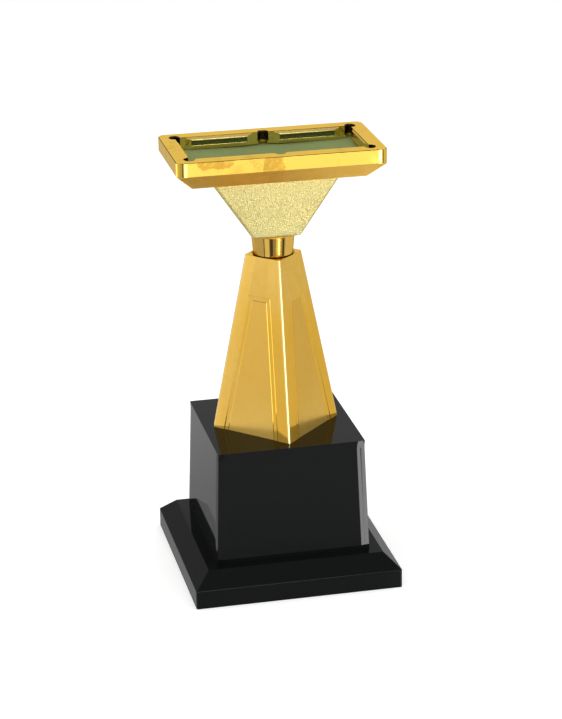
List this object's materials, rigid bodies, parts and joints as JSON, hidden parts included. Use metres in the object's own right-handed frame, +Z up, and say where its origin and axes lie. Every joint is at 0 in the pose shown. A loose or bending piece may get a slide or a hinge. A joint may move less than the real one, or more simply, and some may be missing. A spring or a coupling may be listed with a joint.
{
  "type": "column trophy",
  "caption": "Column trophy with a gloss black two-tier base, a gold four-sided column, a ferrule and a tapered wedge carrying a miniature pool table.",
  "frame": {"origin": "centre of the plinth's underside, on the surface it stands on", "axes": "+Z up along the column; +X along the long side of the table; -Y is the front"},
  "size_m": [0.1, 0.1, 0.2102],
  "materials": {
    "gloss_black": "high-gloss moulded black",
    "satin_gold": "vacuum-metallised gold, brushed satin",
    "mirror_gold": "vacuum-metallised gold, mirror bright",
    "grained_gold": "vacuum-metallised pale gold over a fine cast grain",
    "liner_black": "gloss black",
    "bed_green": "short-napped sage green cloth",
    "panel_grey": "plain moulded sheet",
    "zinc_steel": "bright zinc plate"
  },
  "bodies": {
    "root": {"base_plinth": "gloss_black", "base_block": "gloss_black", "column": "satin_gold", "ferrule": "mirror_gold", "support_wedge": "grained_gold", "table_tray": "satin_gold", "rail_frame": "mirror_gold", "middle_pocket_liners": "liner_black", "corner_pocket_liners": "liner_black", "bed_panel": "panel_grey", "bed_cloth": "bed_green", "tie_rod": "zinc_steel", "base_nut": "zinc_steel", "head_nut": "zinc_steel", "base_washer": "zinc_steel", "table_screws": "zinc_steel", "cushion_back_left": "mirror_gold", "cushion_back_right": "mirror_gold", "cushion_front_left": "mirror_gold", "cushion_front_right": "mirror_gold", "cushion_end_left": "mirror_gold", "cushion_end_right": "mirror_gold"}
  },
  "joints": []
}
